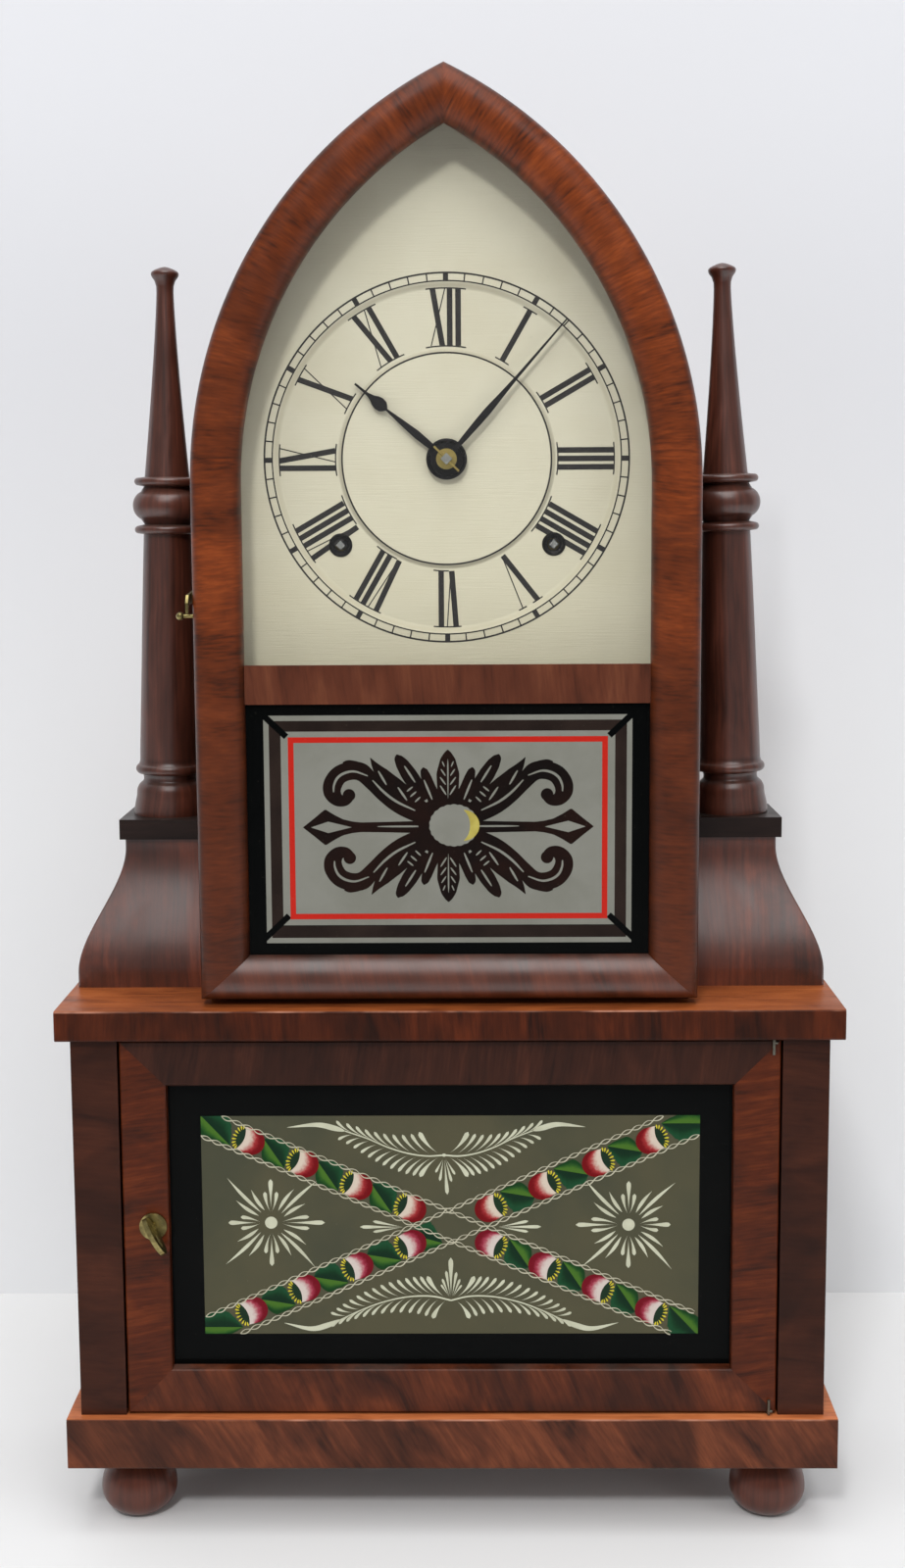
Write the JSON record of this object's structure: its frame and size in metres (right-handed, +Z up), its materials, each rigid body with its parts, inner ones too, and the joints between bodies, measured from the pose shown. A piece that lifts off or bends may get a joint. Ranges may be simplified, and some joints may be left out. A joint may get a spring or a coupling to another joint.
{
  "type": "double steeple shelf clock",
  "caption": "Pointed-arch shelf clock with turned steeples on scroll brackets, glazed upper door over a Roman dial, painted tablets, wide lower box and bun feet.",
  "frame": {"origin": "centre of the bounding box at floor level", "axes": "+X to the viewer's right, +Y to the back, +Z up; the dial faces -Y"},
  "size_m": [0.354, 0.1364, 0.6602],
  "materials": {
    "mahogany": "semi_gloss",
    "dark_mahogany": "semi_gloss",
    "pine": "matte",
    "painted_glass": "gloss",
    "clear_glass": "gloss",
    "dial_paint": "satin",
    "blued_steel": "satin",
    "gong_steel": "satin",
    "steel": "satin",
    "brass": "satin"
  },
  "bodies": {
    "case": {"base_board": "mahogany", "ball_feet": "mahogany", "case_stile_left": "mahogany", "case_stile_right": "mahogany", "box_side_left": "mahogany", "box_side_right": "mahogany", "box_back": "pine", "middle_board": "mahogany", "scroll_left": "mahogany", "scroll_right": "mahogany", "column_shelf_left": "dark_mahogany", "column_shelf_right": "dark_mahogany", "column_left": "dark_mahogany", "column_right": "dark_mahogany", "arch_side_left": "mahogany", "arch_side_right": "mahogany", "upper_back": "pine", "case_hinge_leaves": "brass", "dial_plate": "dial_paint", "dial_battens": "pine", "front_plate": "brass", "back_plate": "brass", "going_mainspring": "steel", "strike_mainspring": "steel", "gong": "gong_steel"},
    "upper_door": {"door_left_member": "mahogany", "door_right_member": "mahogany", "door_bottom_rail": "mahogany", "door_middle_rail": "mahogany", "dial_glass": "clear_glass", "middle_tablet": "painted_glass", "door_hinge_leaves": "brass", "latch_pin": "brass"},
    "lower_door": {"lower_door_top_rail": "mahogany", "lower_door_bottom_rail": "mahogany", "lower_door_left_stile": "mahogany", "lower_door_right_stile": "mahogany", "lower_tablet": "painted_glass", "lower_door_pins": "steel", "catch_plate": "brass"},
    "lower_catch": {"catch_turn": "brass"},
    "hook": {"latch_hook": "brass"},
    "minute_hand": {"minute_hand": "blued_steel", "hand_pin": "brass"},
    "hour_hand": {"hour_hand": "blued_steel"},
    "minute_wheel": {"minute_wheel": "brass"},
    "going_arbor": {"going_winding_arbor": "steel"},
    "going_great": {"going_great_wheel": "brass"},
    "going_second": {"going_second_wheel": "brass"},
    "centre": {"centre_wheel": "brass"},
    "third": {"third_wheel": "brass"},
    "escape": {"escape_wheel": "brass"},
    "verge": {"verge": "steel"},
    "pendulum": {"pendulum_rod": "steel", "pendulum_bob": "brass"},
    "strike_arbor": {"strike_winding_arbor": "steel"},
    "strike_great": {"strike_great_wheel": "brass"},
    "strike_second": {"strike_second_wheel": "brass"},
    "fly": {"strike_fly": "brass"},
    "hammer": {"hammer": "steel"}
  },
  "joints": [
    {"name": "upper_door_hinge", "type": "hinge", "parent": "case", "child": "upper_door", "pos_m": [0.1106, -0.03965, 0.4], "axis": [0, 0, 1], "range_deg": [0, 110]},
    {"name": "lower_door_hinge", "type": "hinge", "parent": "case", "child": "lower_door", "pos_m": [0.1457, -0.0546, 0.146], "axis": [0, 0, 1], "range_deg": [0, 110]},
    {"name": "lower_catch_turn", "type": "hinge", "parent": "lower_door", "child": "lower_catch", "pos_m": [-0.1354, -0.0498, 0.1482], "axis": [0, 1, 0], "range_deg": [0, 90]},
    {"name": "latch_hook_pivot", "type": "hinge", "parent": "case", "child": "hook", "pos_m": [-0.111, -0.0208, 0.4332], "axis": [1, 0, 0], "range_deg": [-75, 7]},
    {"name": "minute_hand_turn", "type": "hinge", "parent": "case", "child": "minute_hand", "pos_m": [0, 0.0082, 0.4937], "axis": [0, 1, 0], "continuous": true},
    {"name": "hour_hand_turn", "type": "hinge", "parent": "case", "child": "hour_hand", "pos_m": [0, 0.0082, 0.4937], "axis": [0, 1, 0], "continuous": true},
    {"name": "minute_wheel_turn", "type": "hinge", "parent": "case", "child": "minute_wheel", "pos_m": [0, 0.0082, 0.4793], "axis": [0, 1, 0], "continuous": true},
    {"name": "third_wheel_turn", "type": "hinge", "parent": "case", "child": "third", "pos_m": [0.01148, 0.0082, 0.51363], "axis": [0, 1, 0], "continuous": true},
    {"name": "centre_wheel_turn", "type": "hinge", "parent": "case", "child": "centre", "pos_m": [0, 0.0082, 0.4937], "axis": [0, 1, 0], "continuous": true},
    {"name": "escape_wheel_turn", "type": "hinge", "parent": "case", "child": "escape", "pos_m": [0, 0.0082, 0.5263], "axis": [0, 1, 0], "continuous": true},
    {"name": "going_second_turn", "type": "hinge", "parent": "case", "child": "going_second", "pos_m": [0.02493, 0.0082, 0.48333], "axis": [0, 1, 0], "continuous": true},
    {"name": "going_great_turn", "type": "hinge", "parent": "case", "child": "going_great", "pos_m": [0.048, 0.0082, 0.4557], "axis": [0, 1, 0], "continuous": true},
    {"name": "going_winding_turn", "type": "hinge", "parent": "going_great", "child": "going_arbor", "pos_m": [0.048, 0.0082, 0.4557], "axis": [0, 1, 0], "range_deg": [0, 1800]},
    {"name": "strike_second_turn", "type": "hinge", "parent": "case", "child": "strike_second", "pos_m": [-0.02493, 0.0082, 0.48333], "axis": [0, 1, 0], "continuous": true},
    {"name": "strike_great_turn", "type": "hinge", "parent": "case", "child": "strike_great", "pos_m": [-0.048, 0.0082, 0.4557], "axis": [0, 1, 0], "continuous": true},
    {"name": "fly_turn", "type": "hinge", "parent": "case", "child": "fly", "pos_m": [-0.0389, 0.0082, 0.50466], "axis": [0, 1, 0], "continuous": true},
    {"name": "strike_winding_turn", "type": "hinge", "parent": "strike_great", "child": "strike_arbor", "pos_m": [-0.048, 0.0082, 0.4557], "axis": [0, 1, 0], "range_deg": [0, 1800]},
    {"name": "pendulum_swing", "type": "hinge", "parent": "case", "child": "pendulum", "pos_m": [0, 0.0382, 0.5467], "axis": [0, 1, 0], "range_deg": [-4.5, 4.5]},
    {"name": "verge_rock", "type": "hinge", "parent": "case", "child": "verge", "pos_m": [0, 0.0082, 0.5467], "axis": [0, 1, 0], "range_deg": [-5, 5]},
    {"name": "hammer_lift", "type": "hinge", "parent": "case", "child": "hammer", "pos_m": [-0.072, 0.0382, 0.4315], "axis": [0, 1, 0], "range_deg": [0, 10], "stiffness_Nm_per_rad": 0.02}
  ],
  "couplings": [
    {"joint": "hour_hand_turn", "follows": "minute_hand_turn", "ratio": 0.083333},
    {"joint": "minute_wheel_turn", "follows": "minute_hand_turn", "ratio": -0.33333},
    {"joint": "centre_wheel_turn", "follows": "third_wheel_turn", "ratio": -0.095238},
    {"joint": "escape_wheel_turn", "follows": "third_wheel_turn", "ratio": -8.5},
    {"joint": "going_second_turn", "follows": "third_wheel_turn", "ratio": 0.019048},
    {"joint": "going_great_turn", "follows": "third_wheel_turn", "ratio": -0.0031746},
    {"joint": "strike_great_turn", "follows": "strike_second_turn", "ratio": -0.16667},
    {"joint": "fly_turn", "follows": "strike_second_turn", "ratio": -7.5},
    {"joint": "verge_rock", "follows": "pendulum_swing", "ratio": 1}
  ]
}
